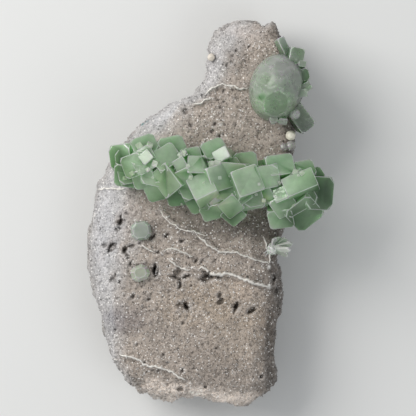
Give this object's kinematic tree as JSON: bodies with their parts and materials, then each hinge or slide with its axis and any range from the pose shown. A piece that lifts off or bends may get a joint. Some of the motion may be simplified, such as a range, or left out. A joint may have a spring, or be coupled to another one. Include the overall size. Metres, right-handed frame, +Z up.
{
  "type": "apophyllite specimen",
  "caption": "Mineral specimen lying on its back: a slab of grey-beige drusy rock with a band of pale green glassy block crystals across it and more at its narrow neck.",
  "frame": {"origin": "middle of the specimen's box, on the surface that the slab lies on", "axes": "+X across the slab to the overhanging end of the crystal band, +Y along the slab to its narrow neck, +Z up out of the drusy face"},
  "size_m": [0.0982, 0.1542, 0.0558],
  "materials": {
    "rock": "matt, drusy",
    "apophyllite": "glassy, pale green, see-through",
    "cream": "satin, cream",
    "chalcedony": "waxy grey",
    "stilbite": "pearly, greyish white"
  },
  "bodies": {
    "root": {"matrix": "rock", "apophyllite_band": "apophyllite", "upper_crystal_cluster": "apophyllite", "small_crystal_upper": "apophyllite", "small_crystal_lower": "apophyllite", "cream_bead_right": "cream", "cream_bead_left": "cream", "grey_beads": "chalcedony", "blade_spray": "stilbite"}
  },
  "joints": []
}
